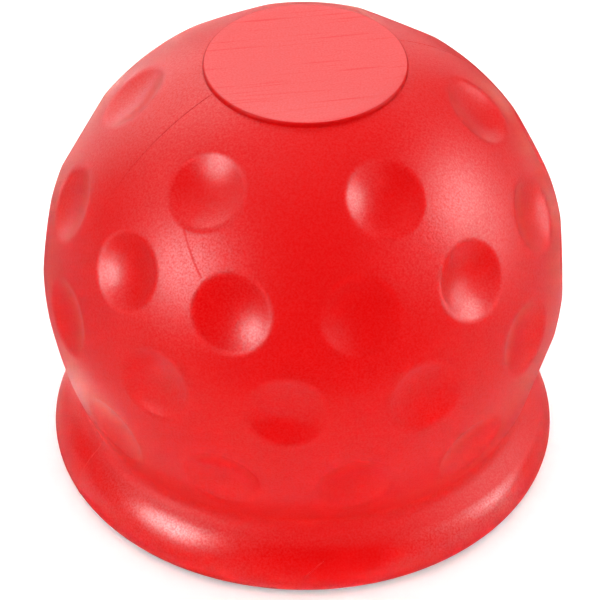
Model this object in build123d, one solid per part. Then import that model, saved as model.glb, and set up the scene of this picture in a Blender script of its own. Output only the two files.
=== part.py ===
from build123d import *
import os
from math import acos, atan2, cos, degrees, radians, sin, sqrt

# A push-on cover for a tow ball: one soft moulding, in millimetres.
# +Z is the axis of the ball, z = 0 is the rim face, and the front looks along -Y.

# Ball, socket and dome, all about one centre
ball_diameter = 50.0
ball_clearance = 0.2  # between the ball and the socket, all round
dome_wall = 4.8  # from the socket to the outside, between the dimples
centre_height = 25.5  # from the rim face to the centre of the ball

# Flat pad on the crown
pad_diameter = 22.8
pad_rise = 0.6  # from the dome up to the pad, at the pad's edge
pad_edge_radius = 0.25

# Round dimples, in rows about the axis from the crown down
dimple_diameter = 8.8
dimple_depth = 1.2  # below the dome's own surface
dimple_edge_radius = 1.9
cutter_margin = 0.5  # how far a dimple's cutter stands out of the dome
row_counts = [6, 12, 12, 12]
row_latitude_angles = [49.7, 26.2, 4.9, -15.0]  # how far each row looks up
row_turn_angles = [30.0, 16.5, 0.0, 15.0]  # the row's first dimple, from the front

# Skirt: below the ball's middle the outside runs straighter down than the ball
skirt_start_angle = -6.0  # where the dome runs into it, as seen from the dome's centre
skirt_radius = 40.0  # of its curve from top to bottom

# Lip: a rounded lower edge, a wider rounded face above it, then a hollow waist up to the skirt
lip_diameter = 58.9
lip_edge_radius = 2.7
lip_face_radius = 8.0
lip_face_angle = 17.0  # how far the surface looks up where the edge runs into the face
waist_radius = 2.0
rim_width = 3.75  # flat face under the lip, as far as the mouth's corner

# Way in for the ball
throat_diameter = 43.0  # narrowest place, just below the socket
throat_edge_radius = 1.0
mouth_edge_radius = 1.0

equal_within = 0.01  # radii closer than this count as the same

# Worked out from these
socket_radius = ball_diameter / 2 + ball_clearance
dome_radius = socket_radius + dome_wall
centre = Vector(0, centre_height)


def toward(angle):
    return Vector(cos(radians(angle)), sin(radians(angle)))


def angle_of(direction):
    return degrees(atan2(direction.Y, direction.X))


def arc(middle, radius, start, end):
    return ThreePointArc(
        middle + toward(start) * radius,
        middle + toward((start + end) / 2) * radius,
        middle + toward(end) * radius,
    )


def touching_centre(first, first_reach, second, second_reach):
    # The outer of the two points that lie at given distances from two centres
    between = second - first
    along = between.normalized()
    foot = (between.length**2 + first_reach**2 - second_reach**2) / (2 * between.length)
    across = Vector(-along.Y, along.X) * sqrt(first_reach**2 - foot**2)
    middle = first + along * foot
    return max(middle + across, middle - across, key=lambda point: point.X)


def corner(face, point):
    return face.vertices().sort_by_distance(point)[0]


skirt_centre = centre - toward(skirt_start_angle) * (skirt_radius - dome_radius)


def moulding_section():
    # Outside: pad, dome, skirt, waist and lip, each arc running smoothly into the next
    pad_radius = pad_diameter / 2
    pad_angle = degrees(acos(pad_radius / dome_radius))
    pad_foot = centre + toward(pad_angle) * dome_radius
    pad_corner = pad_foot + Vector(0, pad_rise)
    edge_centre = Vector(lip_diameter / 2 - lip_edge_radius, lip_edge_radius)
    face_centre = edge_centre - toward(lip_face_angle) * (lip_face_radius - lip_edge_radius)
    waist_centre = touching_centre(
        skirt_centre, skirt_radius + waist_radius, face_centre, lip_face_radius + waist_radius
    )
    skirt_angle = angle_of(waist_centre - skirt_centre)
    face_angle = angle_of(waist_centre - face_centre)

    # Inside: socket, throat and flared mouth
    throat_angle = -degrees(acos(throat_diameter / 2 / socket_radius))
    throat_corner = centre + toward(throat_angle) * socket_radius
    mouth_corner = Vector(edge_centre.X - rim_width, 0)
    crown_inside = centre + toward(90) * socket_radius
    crown_outside = Vector(0, pad_corner.Y)

    outline = [
        Polyline(crown_inside, crown_outside, pad_corner, pad_foot),
        arc(centre, dome_radius, pad_angle, skirt_start_angle),
        arc(skirt_centre, skirt_radius, skirt_start_angle, skirt_angle),
        arc(waist_centre, waist_radius, skirt_angle + 180, face_angle + 180),
        arc(face_centre, lip_face_radius, face_angle, lip_face_angle),
        arc(edge_centre, lip_edge_radius, lip_face_angle, -90),
        Polyline(Vector(edge_centre.X, 0), mouth_corner, throat_corner),
        arc(centre, socket_radius, throat_angle, 90),
    ]
    section = make_face(outline)
    section = fillet(corner(section, pad_corner), pad_edge_radius)
    section = fillet(corner(section, mouth_corner), mouth_edge_radius)
    section = fillet(corner(section, throat_corner), throat_edge_radius)
    return section


# Each dimple is the cap of a larger ball that stands outside the dome
rim_radius = dimple_diameter / 2
dish_sag = sqrt(dome_radius**2 - rim_radius**2) - (dome_radius - dimple_depth)
dish_radius = (rim_radius**2 + dish_sag**2) / (2 * dish_sag)


def dimple_cutters():
    cap_top = Plane.YZ.offset(dimple_depth + cutter_margin - dish_radius)
    cap = split(Sphere(dish_radius), bisect_by=cap_top, keep=Keep.BOTTOM)
    cutters = []
    for count, latitude, first_turn in zip(row_counts, row_latitude_angles, row_turn_angles):
        on_dome = latitude > skirt_start_angle
        middle = centre if on_dome else skirt_centre
        reach = (dome_radius if on_dome else skirt_radius) - dimple_depth + dish_radius
        looking_out = Pos(middle.X, 0, middle.Y) * Rot(0, -latitude, 0) * Pos(reach, 0, 0)
        for index in range(count):
            turn = first_turn + index * 360 / count - 90
            cutters.append(Rot(0, 0, turn) * looking_out * cap)
    return cutters


def is_dish(face):
    return abs(face.radius - dish_radius) < equal_within


moulding = revolve(Plane.YZ * moulding_section(), Axis.Z)
dimpled = moulding - dimple_cutters()
dishes = dimpled.faces().filter_by(GeomType.SPHERE).filter_by(is_dish)
cover = fillet(dishes.edges(), dimple_edge_radius)

os.makedirs("parts", exist_ok=True)
export_step(cover, "parts/cover.step")
print("cover", len(dishes), "dimples, volume", round(cover.volume / 1000, 2), "cubic centimetres")
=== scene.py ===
import math

import bpy
from mathutils import Matrix, Vector


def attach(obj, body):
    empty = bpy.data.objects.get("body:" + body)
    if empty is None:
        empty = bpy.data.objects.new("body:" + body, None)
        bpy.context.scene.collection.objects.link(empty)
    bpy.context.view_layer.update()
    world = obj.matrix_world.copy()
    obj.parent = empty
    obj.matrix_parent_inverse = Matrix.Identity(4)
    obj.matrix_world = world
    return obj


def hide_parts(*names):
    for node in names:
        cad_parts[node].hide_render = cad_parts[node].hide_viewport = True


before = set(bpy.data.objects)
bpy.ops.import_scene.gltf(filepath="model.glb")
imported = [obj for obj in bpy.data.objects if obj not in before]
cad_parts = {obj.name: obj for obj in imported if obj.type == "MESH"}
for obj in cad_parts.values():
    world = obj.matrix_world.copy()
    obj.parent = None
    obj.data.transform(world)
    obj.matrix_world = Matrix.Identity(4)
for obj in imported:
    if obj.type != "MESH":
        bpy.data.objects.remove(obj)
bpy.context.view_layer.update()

mm = 0.001
samePoint = 1e-5  # in mm, section points nearer than this are drawn once
weld = 2e-6  # in metres, mesh points nearer than this become one
scene = bpy.context.scene


def deselectAll():
    if bpy.context.object and bpy.context.object.mode != "OBJECT":
        bpy.ops.object.mode_set(mode="OBJECT")
    bpy.ops.object.select_all(action="DESELECT")


def makeActive(piece):
    deselectAll()
    piece.select_set(True)
    bpy.context.view_layer.objects.active = piece


def arcPoints(middle, radius, start, end, gap):
    count = max(2, math.ceil(abs(math.radians(end - start)) * radius / gap))
    turns = [math.radians(start + (end - start) * i / count) for i in range(count + 1)]
    return [Vector((middle.x + radius * math.cos(t), middle.y + radius * math.sin(t))) for t in turns]


def linePoints(start, end, gap):
    count = max(1, math.ceil((end - start).length / gap))
    return [start.lerp(end, i / count) for i in range(count + 1)]


def angleOf(direction):
    return math.degrees(math.atan2(direction.y, direction.x))


def toward(angle):
    return Vector((math.cos(math.radians(angle)), math.sin(math.radians(angle))))


def outerMeeting(first, firstReach, second, secondReach):
    between = second - first
    foot = (between.length ** 2 + firstReach ** 2 - secondReach ** 2) / (2 * between.length)
    along = between.normalized()
    across = Vector((-along.y, along.x)) * math.sqrt(firstReach ** 2 - foot ** 2)
    middle = first + along * foot
    return max(middle + across, middle - across, key=lambda p: p.x)


def weldAll(gap):
    # in edit mode: doubled points become one, and all faces look outward
    bpy.ops.mesh.select_all(action="SELECT")
    bpy.ops.mesh.remove_doubles(threshold=gap)
    bpy.ops.mesh.normals_make_consistent(inside=False)


def turnedSolid(name, section, turns):
    # the section, as radius and height in mm, is drawn point by point and spun about the axis
    points = [section[0]]
    for point in section[1:]:
        if (point - points[-1]).length > samePoint:
            points.append(point)
    deselectAll()
    bpy.ops.mesh.primitive_plane_add(size=mm, location=(0, 0, 0))
    piece = bpy.context.object
    piece.name = name
    bpy.ops.object.mode_set(mode="EDIT")
    bpy.ops.mesh.select_mode(type="VERT")
    bpy.ops.mesh.merge(type="CENTER")
    bpy.ops.transform.translate(value=(points[0].x * mm, 0, points[0].y * mm))
    for last, point in zip(points, points[1:]):
        step = ((point.x - last.x) * mm, 0, (point.y - last.y) * mm)
        bpy.ops.mesh.extrude_vertices_move(TRANSFORM_OT_translate={"value": step})
    bpy.ops.mesh.select_all(action="SELECT")
    bpy.ops.mesh.spin(steps=turns, angle=math.tau, center=(0, 0, 0), axis=(0, 0, 1))
    weldAll(weld)
    bpy.ops.object.mode_set(mode="OBJECT")
    return piece


def combine(piece, tool, operation):
    makeActive(piece)
    change = piece.modifiers.new(operation.lower(), "BOOLEAN")
    change.operation = operation
    change.solver = "MANIFOLD"
    change.object = tool
    bpy.ops.object.modifier_apply(modifier=change.name)
    bpy.data.objects.remove(tool)


# Moulded shell, turned about the ball's axis
shell = {
    "domeRadius": 29.99, "socketRadius": 25.2, "centreHeight": 25.5,  # the dome stays a hair inside the solid
    "padRadius": 11.4, "padRise": 0.6, "padEdge": 0.25,
    "skirtStart": -6.0, "skirtRadius": 40.0, "waist": 2.0,
    "lipRadius": 29.45, "lipEdge": 2.7, "lipFace": 8.0, "lipFaceAngle": 17.0,
    "rimWidth": 3.75, "throatRadius": 21.5, "throatEdge": 1.0, "mouthEdge": 1.0,
    "padGap": 1.3, "edgeGap": 0.1, "outsideGap": 0.65, "lipGap": 0.4, "rimGap": 1.0, "insideGap": 1.6,
    "turns": 288, "smoothAngle": 40,
}
centre = Vector((0, shell["centreHeight"]))
skirtMiddle = centre - toward(shell["skirtStart"]) * (shell["skirtRadius"] - shell["domeRadius"])
lipMiddle = Vector((shell["lipRadius"] - shell["lipEdge"], shell["lipEdge"]))
faceMiddle = lipMiddle - toward(shell["lipFaceAngle"]) * (shell["lipFace"] - shell["lipEdge"])


def padSection(s):
    top = centre.y + math.sqrt(s["domeRadius"] ** 2 - s["padRadius"] ** 2) + s["padRise"]
    edge = Vector((s["padRadius"] - s["padEdge"], top - s["padEdge"]))
    section = linePoints(Vector((0, top)), Vector((edge.x, top)), s["padGap"])
    section += arcPoints(edge, s["padEdge"], 90, 0, s["edgeGap"])
    return section


def outsideSection(s):
    # dome, skirt, waist and lip, each running smoothly into the next
    padAngle = math.degrees(math.acos(s["padRadius"] / s["domeRadius"]))
    waistMiddle = outerMeeting(
        skirtMiddle, s["skirtRadius"] + s["waist"], faceMiddle, s["lipFace"] + s["waist"],
    )
    skirtEnd = angleOf(waistMiddle - skirtMiddle)
    faceStart = angleOf(waistMiddle - faceMiddle)
    section = arcPoints(centre, s["domeRadius"], padAngle, s["skirtStart"], s["outsideGap"])
    section += arcPoints(skirtMiddle, s["skirtRadius"], s["skirtStart"], skirtEnd, s["outsideGap"])
    section += arcPoints(waistMiddle, s["waist"], skirtEnd + 180, faceStart + 180, s["lipGap"])
    section += arcPoints(faceMiddle, s["lipFace"], faceStart, s["lipFaceAngle"], s["lipGap"])
    section += arcPoints(lipMiddle, s["lipEdge"], s["lipFaceAngle"], -90, s["lipGap"])
    return section


def insideSection(s):
    # rim, flared mouth, throat and the socket for the ball
    throatAngle = -math.degrees(math.acos(s["throatRadius"] / s["socketRadius"]))
    throatCorner = centre + toward(throatAngle) * s["socketRadius"]
    mouthCorner = Vector((lipMiddle.x - s["rimWidth"], 0))
    along = (throatCorner - mouthCorner).normalized()
    out = Vector((along.y, -along.x))  # from the way in toward the wall
    outAngle = angleOf(out)
    mouthShift = s["mouthEdge"] * math.tan(math.radians(45 + outAngle / 2))
    mouthTurn = Vector((mouthCorner.x + mouthShift, s["mouthEdge"]))
    start = mouthCorner + out * s["throatEdge"] - centre
    reach = s["socketRadius"] + s["throatEdge"]
    travel = -start.dot(along) + math.sqrt(start.dot(along) ** 2 - start.length_squared + reach ** 2)
    throatTurn = min(
        (centre + start + along * t for t in (travel, -2 * start.dot(along) - travel)),
        key=lambda p: (p - throatCorner).length,
    )
    socketStart = angleOf(throatTurn - centre)
    section = linePoints(Vector((lipMiddle.x, 0)), Vector((mouthTurn.x, 0)), s["rimGap"])
    section += arcPoints(mouthTurn, s["mouthEdge"], 270, 180 + outAngle, s["lipGap"])
    section += arcPoints(throatTurn, s["throatEdge"], 180 + outAngle, 180 + socketStart, s["lipGap"])
    section += arcPoints(centre, s["socketRadius"], socketStart, 90, s["insideGap"])
    section[-1].x = 0
    return section


wholeSection = padSection(shell) + outsideSection(shell) + insideSection(shell)
cover = turnedSolid("cover", wholeSection, shell["turns"])
print("shell turned,", len(cover.data.polygons), "faces")


# Dimples: a punch with a dished end and a softly rounded rim, copied round each row
dimple = {
    "radius": 4.4, "depth": 1.2, "edge": 1.9, "turns": 64, "dishGap": 0.5, "edgeGap": 0.12,
    "flareAngle": 4.0, "flare": 1.2, "flareGap": 0.6, "stand": 1.5,
    "rows": [(6, 49.7, 30.0), (12, 26.2, 16.5), (12, 4.9, 0.0), (12, -15.0, 15.0)],  # count, latitude, turn
}


def curveAt(latitude):
    # middle and radius of the ball that lies closest to the outside where a row looks out
    if latitude > shell["skirtStart"]:
        return centre, shell["domeRadius"]
    spot = skirtMiddle + toward(latitude) * shell["skirtRadius"]
    across = spot.x / math.cos(math.radians(latitude))
    radius = 2 / (1 / across + 1 / shell["skirtRadius"])
    return spot - toward(latitude) * radius, radius


def punchSection(d, curve):
    # heights are measured from the middle of the curve that is cut
    dome = shell["domeRadius"]
    sag = math.sqrt(dome ** 2 - d["radius"] ** 2) - (dome - d["depth"])
    dish = (d["radius"] ** 2 + sag ** 2) / (2 * sag)
    dishMiddle = Vector((0, curve - d["depth"] + dish))
    edgeMiddle = outerMeeting(Vector((0, 0)), curve - d["edge"], dishMiddle, dish + d["edge"])
    dishEnd = angleOf(edgeMiddle - dishMiddle)
    rimAngle = angleOf(edgeMiddle) + d["flareAngle"]
    section = arcPoints(dishMiddle, dish, -90, dishEnd, d["dishGap"])
    section += arcPoints(edgeMiddle, d["edge"], dishEnd + 180, rimAngle, d["edgeGap"])
    rimEnd = section[-1]
    flareEnd = rimEnd + toward(rimAngle - 90) * d["flare"]
    section += linePoints(rimEnd, flareEnd, d["flareGap"])
    section += [Vector((flareEnd.x, curve + d["stand"])), Vector((0, curve + d["stand"]))]
    return section


copies = []
for count, latitude, firstTurn in dimple["rows"]:
    rowMiddle, rowRadius = curveAt(latitude)
    punch = turnedSolid("punch", punchSection(dimple, rowRadius), dimple["turns"])
    tilt = Matrix.Rotation(math.radians(90 - latitude), 4, "X")
    place = Matrix.Translation((0, -rowMiddle.x * mm, rowMiddle.y * mm)) @ tilt
    for i in range(count):
        makeActive(punch)
        bpy.ops.object.duplicate(linked=False)
        copy = bpy.context.object
        rowTurn = math.radians(firstTurn + i * 360 / count)
        copy.matrix_world = Matrix.Rotation(rowTurn, 4, "Z") @ place
        copies.append(copy)
    bpy.data.objects.remove(punch)
deselectAll()
for copy in copies:
    copy.select_set(True)
bpy.context.view_layer.objects.active = copies[0]
bpy.ops.object.join()
punches = bpy.context.object
bpy.ops.object.transform_apply(location=True, rotation=True, scale=True)
combine(cover, punches, "DIFFERENCE")
print("dimples cut,", len(cover.data.polygons), "faces")


# Fine lines: where the mould parted, and a scratch on the lip
fineLine = {
    "partingTurn": -59.2, "partingWidth": 0.2, "partingStand": 0.045,
    "fadeTop": 46.0, "fadeEnd": 30.0, "faint": 0.6,  # the groove grows fainter between these two latitudes
    "ridgeTop": 12.0, "ridgeStand": 0.05, "ridgeShort": 6,  # height, and points left off at the lower edge
    "scratch": [(4.0, 17.0), (5.4, 21.0), (8.2, 30.0)],  # turn, angle on the lip's face
    "scratchWidth": 0.15,
}


def turnedPoint(point, angle):
    # a point of the section, taken round the axis to its place
    a = math.radians(angle)
    return Vector((point.x * math.sin(a), -point.x * math.cos(a), point.y)) * mm


def lineTool(name, points, width, sizes=None):
    path = bpy.data.curves.new(name, "CURVE")
    path.dimensions = "3D"
    path.bevel_depth = width / 2 * mm
    path.bevel_resolution = 1
    path.use_fill_caps = True
    spline = path.splines.new("POLY")
    spline.points.add(len(points) - 1)
    for knot, point, size in zip(spline.points, points, sizes or [1] * len(points)):
        knot.co = (*point, 1)
        knot.radius = size
    tool = bpy.data.objects.new(name, path)
    scene.collection.objects.link(tool)
    makeActive(tool)
    bpy.ops.object.convert(target="MESH")
    bpy.ops.object.mode_set(mode="EDIT")
    weldAll(weld)
    bpy.ops.object.mode_set(mode="OBJECT")
    return bpy.context.object


def seamSize(point, f):
    # full below the pad, then faint
    fade = (f["fadeTop"] - angleOf(point - centre)) / (f["fadeTop"] - f["fadeEnd"])
    return 1 + (f["faint"] - 1) * min(1, max(0, fade))


def outsideOffset(stand):
    # the outside section, a little off the surface
    moved = {key: shell[key] + stand for key in ("domeRadius", "skirtRadius", "lipFace", "lipEdge")}
    return outsideSection({**shell, **moved, "waist": shell["waist"] - stand})


groove = [p for p in outsideOffset(fineLine["partingStand"]) if p.y > fineLine["ridgeTop"]]
grooveSizes = [seamSize(p, fineLine) for p in groove]
ridgeOffset = fineLine["ridgeStand"] - fineLine["partingWidth"] / 2
ridge = [p for p in outsideOffset(ridgeOffset) if p.y < fineLine["ridgeTop"]]
ridge = ridge[:-fineLine["ridgeShort"]]
for half in (0, 180):
    turned = fineLine["partingTurn"] + half
    grooveLine = [turnedPoint(p, turned) for p in groove]
    seam = lineTool("partingGroove", grooveLine, fineLine["partingWidth"], grooveSizes)
    combine(cover, seam, "DIFFERENCE")
    ridgeLine = [turnedPoint(p, turned) for p in ridge]
    combine(cover, lineTool("partingRidge", ridgeLine, fineLine["partingWidth"]), "UNION")
scratch = [turnedPoint(faceMiddle + toward(a) * shell["lipFace"], t) for t, a in fineLine["scratch"]]
combine(cover, lineTool("scratch", scratch, fineLine["scratchWidth"]), "UNION")
print("fine lines cut,", len(cover.data.polygons), "faces")


# Clean up: points welded, faces turned outward, soft shading
makeActive(cover)
bpy.ops.object.mode_set(mode="EDIT")
weldAll(2 * weld)
bpy.ops.mesh.select_all(action="DESELECT")
bpy.ops.mesh.select_mode(type="EDGE")
bpy.ops.mesh.select_non_manifold()
bpy.ops.object.mode_set(mode="OBJECT")
openEdges = sum(1 for e in cover.data.edges if e.select)
bpy.ops.object.shade_smooth_by_angle(angle=math.radians(shell["smoothAngle"]))
print("open edges", openEdges)


# Soft plastic: bright red right through, finely grained, smoother in the dimples and on the lip
finish = {
    "red": (0.66, 0.0042, 0.0044, 1), "deepRed": (0.62, 0.0034, 0.0036, 1), "mottle": 110,
    "dome": 0.37, "dimple": 0.29, "waist": 0.55, "lip": 0.3, "pad": 0.42,  # roughness
    "dimpleEnds": (29.95, 29.2), "waistEnds": (12.0, 9.5), "padEnds": (53.4, 53.6),  # mm, where each sets in
    "lipEnds": (7.0, 6.1), "lipSlope": 0.035,  # a little higher on the left than on the right
    "gloss": 0.5, "lipGloss": 0.5, "padGlint": 0.5, "padFront": 0.27, "padFrontEnds": (-4.0, -11.4),
    "glint": 4400, "glintSpread": 0.21, "glintEnds": (0.3, 0.7),
    "grain": 3600, "grainDepth": 0.04, "grainStrength": 0.45, "padGrain": 0.15,
}
plastic = bpy.data.materials.new("softPlastic")
plastic.use_nodes = True
nodes, links = plastic.node_tree.nodes, plastic.node_tree.links
shader = nodes["Principled BSDF"]


def addNode(kind, settings, inputs):
    made = nodes.new(kind)
    for key, value in settings.items():
        setattr(made, key, value)
    for key, value in inputs.items():
        if isinstance(value, bpy.types.NodeSocket):
            links.new(value, made.inputs[key])
        else:
            made.inputs[key].default_value = value
    return made.outputs


def zone(value, start, end, low=0, high=1):
    # low at the start, high at the end
    ends = {"From Min": start, "From Max": end, "To Min": low, "To Max": high}
    return addNode("ShaderNodeMapRange", {}, {"Value": value, **ends})["Result"]


def band(value, ends, low=0, high=1):
    # a zone whose ends are in mm
    return zone(value, ends[0] * mm, ends[1] * mm, low, high)


def maths(operation, first, second):
    return addNode("ShaderNodeMath", {"operation": operation}, {0: first, 1: second})["Value"]


def spotMaths(operation, first, second, result="Value"):
    return addNode("ShaderNodeVectorMath", {"operation": operation}, {0: first, 1: second})[result]


def blend(amount, first, second):
    return addNode("ShaderNodeMix", {}, {0: amount, 2: first, 3: second})[0]


def blendTint(amount, first, second):
    return addNode("ShaderNodeMix", {"data_type": "RGBA"}, {0: amount, 6: first, 7: second})[2]


def noise(place, scale, detail):
    return addNode("ShaderNodeTexNoise", {}, {"Vector": place, "Scale": scale, "Detail": detail})[0]


spot = addNode("ShaderNodeTexCoord", {}, {})["Object"]
side, depth, height = addNode("ShaderNodeSeparateXYZ", {}, {"Vector": spot}).values()
fromBall = spotMaths("DISTANCE", spot, (0, 0, centre.y * mm))
fromAxis = spotMaths("DISTANCE", spotMaths("MULTIPLY", spot, (1, 1, 0), "Vector"), (0, 0, 0))


def nearLine(begin, end, ends, fade):
    # one along a straight line, and fading at its sides and ends
    along, length = (end - begin).normalized(), (end - begin).length
    offset = spotMaths("SUBTRACT", spot, begin, "Vector")
    travel = spotMaths("DOT_PRODUCT", offset, along)
    across = spotMaths("DISTANCE", spotMaths("CROSS_PRODUCT", offset, along, "Vector"), (0, 0, 0))
    within = maths("MULTIPLY", zone(travel, 0, fade * mm), zone(travel, length, length - fade * mm))
    return maths("MULTIPLY", band(across, ends), within)


inDimple = band(fromBall, finish["dimpleEnds"])
onWaist = band(height, finish["waistEnds"])
onLip = band(maths("ADD", height, maths("MULTIPLY", side, finish["lipSlope"])), finish["lipEnds"])
onPad = band(height, finish["padEnds"])
roughness = blend(inDimple, finish["dome"], finish["dimple"])
roughness = blend(onWaist, roughness, finish["waist"])
roughness = blend(onLip, roughness, finish["lip"])
roughness = blend(onPad, roughness, finish["pad"])
links.new(roughness, shader.inputs["Roughness"])

# Wear on the pad: fine scuffs all over it and one longer scuff; and painted shade: a dark, duller ring at its
# edge
padWearAndShade = {
    # the dark ring is painted shade at the pad's edge, where the step would be in shade
    "ring": (0.56, 0.003, 0.003, 1), "ringGloss": 0.3,
    "ringEnds": (11.17, 11.27), "ringHeight": (53.2, 53.35),  # mm from the axis, and up
    "scuffTurn": 13.0, "scuffLong": 75, "scuffThin": 1800, "scuffEnds": (0.58, 0.7), "scuffGloss": 0.55,
    "line": [(-8.5, -7.2, 53.85), (4.7, -4.7, 53.85)],
    "lineEnds": (0.2, 0.05), "lineFade": 3, "lineGloss": 0.72,
}
# painted shade: a ring over the pad's edge fillet and the top of its wall
onShadeRing = maths("MULTIPLY", band(fromAxis, padWearAndShade["ringEnds"]), band(height, padWearAndShade["ringHeight"]))
scuffTurn = (0, 0, math.radians(padWearAndShade["scuffTurn"]))
scuffSize = (1 / padWearAndShade["scuffLong"], 1 / padWearAndShade["scuffThin"], 1)
scuffSpot = addNode(
    "ShaderNodeMapping", {"vector_type": "TEXTURE"},
    {"Vector": spot, "Rotation": scuffTurn, "Scale": scuffSize},
)["Vector"]
onScuff = maths("MULTIPLY", zone(noise(scuffSpot, 1, 2), *padWearAndShade["scuffEnds"]), onPad)
padLine = [Vector(p) * mm for p in padWearAndShade["line"]]
onPadLine = nearLine(*padLine, padWearAndShade["lineEnds"], padWearAndShade["lineFade"])

# Marks: the scratch and the lip's part of the parting line are paler, the hairline is duller
mark = {
    "pale": (0.8, 0.11, 0.1, 1), "scratchPale": 0.8, "scratchEnds": (0.11, 0.04), "scratchFade": 0.4,
    "seamPale": 0.3, "seamEnds": (0.1, 0.04), "seamHeight": (8.6, 7.6),
    "hairline": [(-31.8, 40.8), (-28.6, 37.8), (-25.4, 34.8), (-22.4, 32.2)],  # turn, latitude
    "hairlineGloss": 0.38, "hairlineEnds": (0.2, 0.06), "hairlineFade": 0.02,
}
seamTurn = math.radians(fineLine["partingTurn"])
pastSeam = spotMaths("DOT_PRODUCT", spot, (math.cos(seamTurn), math.sin(seamTurn), 0))
onSeam = band(maths("ABSOLUTE", pastSeam, 0), mark["seamEnds"])
onSeam = maths("MULTIPLY", onSeam, band(height, mark["seamHeight"]))
onScratch = nearLine(scratch[0], scratch[-1], mark["scratchEnds"], mark["scratchFade"])
seamPale = maths("MULTIPLY", onSeam, mark["seamPale"])
paleness = maths("MAXIMUM", maths("MULTIPLY", onScratch, mark["scratchPale"]), seamPale)
hairline = [turnedPoint(centre + toward(a) * shell["domeRadius"], t) for t, a in mark["hairline"]]

# Colour
tint = blendTint(noise(spot, finish["mottle"], 4), finish["red"], finish["deepRed"])
# painted shade: the ring at the pad's edge is darkened in the colour
tint = blendTint(onShadeRing, tint, padWearAndShade["ring"])
tint = blendTint(paleness, tint, mark["pale"])
links.new(tint, shader.inputs["Base Color"])

# Smoother skin on the lip: crisper on the left, softer on the right, and faint toward the rear
lipSkin = {
    "left": 0.33, "right": 0.9, "rear": 0.08, "leftRoughness": 0.28, "rightRoughness": 0.32, "ior": 2.1,
    "leftEnds": (4, -4), "leftFade": (-25, -19), "leftFaint": 0.2,  # mm to the right of the axis
    "rightEnds": (10, 19), "changeEnds": (6, 8),
    "rightRear": (-16, -11), "rightHeight": (2.2, 3.8), "seamEnds": (0.02, -0.02), "glint": (0.5, 1.4),
}
glint = noise(spot, finish["glint"], 1)  # tiny glints all over
rightSkin = blend(band(depth, lipSkin["rightRear"]), lipSkin["right"], lipSkin["rear"])
rightSkin = maths("MULTIPLY", rightSkin, band(height, lipSkin["rightHeight"]))
rightSkin = maths("MULTIPLY", rightSkin, band(side, lipSkin["rightEnds"]))
leftSkin = band(side, lipSkin["leftEnds"], 0, lipSkin["left"])
leftSkin = maths("MULTIPLY", leftSkin, band(side, lipSkin["leftFade"], lipSkin["leftFaint"], 1))
behindSeam = band(pastSeam, lipSkin["seamEnds"])
skin = blend(behindSeam, maths("ADD", leftSkin, rightSkin), lipSkin["rear"])
skin = maths("MULTIPLY", maths("MULTIPLY", onLip, skin), zone(glint, *finish["glintEnds"], *lipSkin["glint"]))
skinRoughness = band(side, lipSkin["changeEnds"], lipSkin["leftRoughness"], lipSkin["rightRoughness"])
links.new(skin, shader.inputs["Coat Weight"])
links.new(skinRoughness, shader.inputs["Coat Roughness"])
shader.inputs["Coat IOR"].default_value = lipSkin["ior"]

# Gloss: the glints, less of it on the lip, and wear, marks and the painted shade ring at the pad's edge that
# take some away
glossLevel = zone(glint, *finish["glintEnds"], -finish["glintSpread"], finish["glintSpread"])
glossLevel = maths("MULTIPLY", glossLevel, blend(onPad, 1, finish["padGlint"]))
glossLevel = maths("ADD", glossLevel, finish["gloss"])
padFront = maths("MULTIPLY", band(depth, finish["padFrontEnds"], 0, finish["padFront"]), onPad)
glossLevel = maths("MULTIPLY", glossLevel, maths("ADD", padFront, 1))
duller = [
    (onLip, finish["lipGloss"]), (onShadeRing, padWearAndShade["ringGloss"]),
    (onPadLine, padWearAndShade["lineGloss"]), (onScuff, padWearAndShade["scuffGloss"]),
]
for begin, end in zip(hairline, hairline[1:]):
    onHairline = nearLine(begin, end, mark["hairlineEnds"], mark["hairlineFade"])
    duller.append((onHairline, mark["hairlineGloss"]))
for patch, share in duller:
    glossLevel = maths("MULTIPLY", glossLevel, blend(patch, 1, share))
links.new(glossLevel, shader.inputs["Specular IOR Level"])

# Grain: fine and even, flatter on the pad
grainStrength = blend(onPad, finish["grainStrength"], finish["padGrain"])
grainHeight = noise(spot, finish["grain"], 2)
grainInputs = {"Height": grainHeight, "Strength": grainStrength, "Distance": finish["grainDepth"] * mm}
links.new(addNode("ShaderNodeBump", {}, grainInputs)["Normal"], shader.inputs["Normal"])
print("plastic finished,", len(nodes), "nodes")

cover.data.materials.clear()
cover.data.materials.append(plastic)
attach(cover, "root")
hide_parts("cover")


# Pale paper floor
paperFloor = {"size": 6, "tone": 0.93, "roughness": 0.9, "gloss": 0.1, "glow": 0.2}
deselectAll()
bpy.ops.mesh.primitive_plane_add(size=paperFloor["size"], location=(0, 0, 0))
floor = bpy.context.object
floor.name = "floor"
paper = bpy.data.materials.new("paper")
paper.use_nodes = True
paperInputs = paper.node_tree.nodes["Principled BSDF"].inputs
paperInputs["Base Color"].default_value = (*[paperFloor["tone"]] * 3, 1)
paperInputs["Roughness"].default_value = paperFloor["roughness"]
paperInputs["Specular IOR Level"].default_value = paperFloor["gloss"]
paperInputs["Emission Color"].default_value = (1, 1, 1, 1)
paperInputs["Emission Strength"].default_value = paperFloor["glow"]
floor.data.materials.append(paper)
floor.visible_glossy = False
floor.visible_diffuse = False


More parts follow.
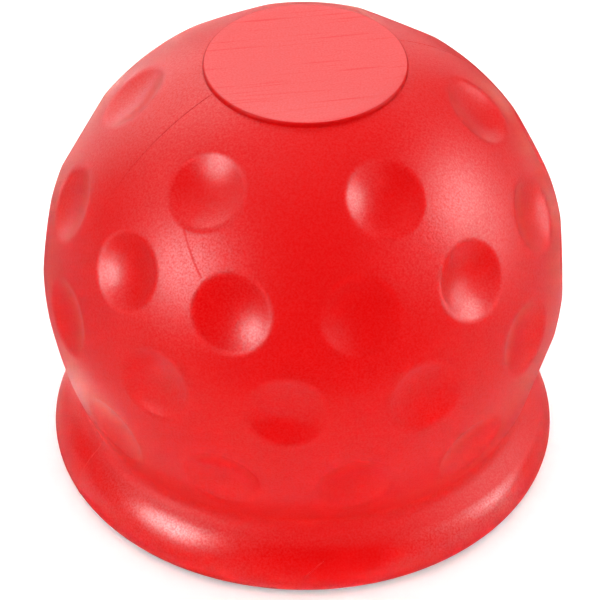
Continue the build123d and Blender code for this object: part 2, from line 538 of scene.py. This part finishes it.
# Camera at the photo's angle, above the front and a little to the right
lookout = {
    "turn": 3.3, "lift": 38.7, "roll": 0.4,  # degrees
    "distance": 420.0, "drop": 4.34, "left": 0.42, "lens": 218.4, "sensor": 36, "nearest": 10,  # mm
}
turn, lift = math.radians(lookout["turn"]), math.radians(lookout["lift"])
back = Vector((math.sin(turn) * math.cos(lift), -math.cos(turn) * math.cos(lift), math.sin(lift)))
right = Vector((math.cos(turn), math.sin(turn), 0))
up = back.cross(right)
middle = Vector((0, 0, shell["centreHeight"] * mm))
target = middle - up * lookout["drop"] * mm - right * lookout["left"] * mm
cameraData = bpy.data.cameras.new("camera")
cameraData.lens = lookout["lens"]
cameraData.sensor_width = lookout["sensor"]
cameraData.clip_start = lookout["nearest"] * mm
camera = bpy.data.objects.new("camera", cameraData)
scene.collection.objects.link(camera)
camera.location = middle + back * lookout["distance"] * mm
aim = (target - camera.location).to_track_quat("-Z", "Y").to_matrix().to_4x4()
camera.rotation_euler = (aim @ Matrix.Rotation(math.radians(lookout["roll"]), 4, "Z")).to_euler()
scene.camera = camera


# Soft studio light: a white tent that lights the colour, and panels that the gloss mirrors
# heading from the camera's side round to the right, lift, width and height, all in degrees, and brightness
tent = {
    "frontSheet": (0, 24, 86, 64, 1.25),
    "rightSheet": (90, 24, 86, 64, 1.02),
    "backSheet": (180, 24, 86, 64, 1.32),
    "leftSheet": (270, 24, 86, 64, 0.95),
    "topSheet": (0, 90, 86, 86, 1.15),
}
gloss = {
    "leftBox": (302, 20, 24, 21, 11.2),
    "leftLowBox": (303, 5, 26, 9, 1.0),
    "leftHighBox": (306, 35, 26, 10, 1.8),
    "rightBox": (91, 26, 24, 20, 9.6),
    "rightLowBox": (90, 5, 23, 11, 4.5),
    "rightFarBox": (106, 18, 22, 36, 1.0),
    "leftWall": (220, 28, 34, 60, 1.7),
    "leftNearWall": (254, 36, 40, 34, 0.7),
    "backPanel": (175, 40, 40, 40, 2.65),
    "backLowPanel": (180, 10, 60, 20, 0.9),
    "backLeftPanel": (205, 50, 26, 26, 1.8),
    "rightWall": (125, 25, 30, 50, 0.29),
    "rightFrontWall": (54, 24, 26, 28, 0.55),
    "topPanel": (265, 68, 40, 30, 0.38),
    "topMiddlePanel": (0, 85, 40, 40, 0.23),
}
# on the floor, facing up: place, width and depth in metres, and brightness
floorTent = {"floorSheet": (0, 0, 0.6, 0.6, 1.4)}
floorGloss = {
    "floorPanel": (0, 0.085, 0.58, 0.27, 0.42),
    "frontFloor": (0, -0.0715, 0.4, 0.033, 0.5),
    "leftFloor": (-0.037, 0.01, 0.014, 0.06, 0.5),
    "rightFloor": (0.042, 0.01, 0.016, 0.06, 0.2),
    "backLeftFloor": (-0.12, 0.16, 0.28, 0.16, 0.9),
    "backFloor": (0, 0.5, 1.2, 0.52, 0.75),
}
panelReach = 0.7  # metres from the middle of the ball
floorStand = 0.5  # mm above the floor


def addPanel(name, width, tall, brightness):
    data = bpy.data.lights.new(name, "AREA")
    data.shape = "RECTANGLE"
    data.size = width
    data.size_y = tall
    data.energy = brightness * width * tall * math.pi
    data.cycles.use_multiple_importance_sampling = False
    panel = bpy.data.objects.new(name, data)
    panel.visible_camera = False
    panel.visible_diffuse = name in tent or name in floorTent
    panel.visible_glossy = not panel.visible_diffuse
    scene.collection.objects.link(panel)
    return panel


for name, (heading, high, width, tall, brightness) in {**tent, **gloss}.items():
    size = [2 * panelReach * math.tan(math.radians(angle) / 2) for angle in (width, tall)]
    panel = addPanel(name, *size, brightness)
    flat, rise = math.radians(heading) + turn, math.radians(high)
    outward = Vector((math.sin(flat) * math.cos(rise), -math.cos(flat) * math.cos(rise), math.sin(rise)))
    panel.location = middle + outward * panelReach
    panel.rotation_euler = outward.to_track_quat("Z", "Y").to_euler()
for name, (across, behind, width, deep, brightness) in {**floorTent, **floorGloss}.items():
    panel = addPanel(name, width, deep, brightness)
    panel.location = (across, behind, floorStand * mm)
    panel.rotation_euler = (math.pi, 0, 0)

world = bpy.data.worlds.new("surround")
scene.world = world
world.use_nodes = True
world.node_tree.nodes["Background"].inputs["Strength"].default_value = 0.0
scene.view_settings.view_transform = "Standard"
scene.view_settings.look = "None"

print("studio ready")
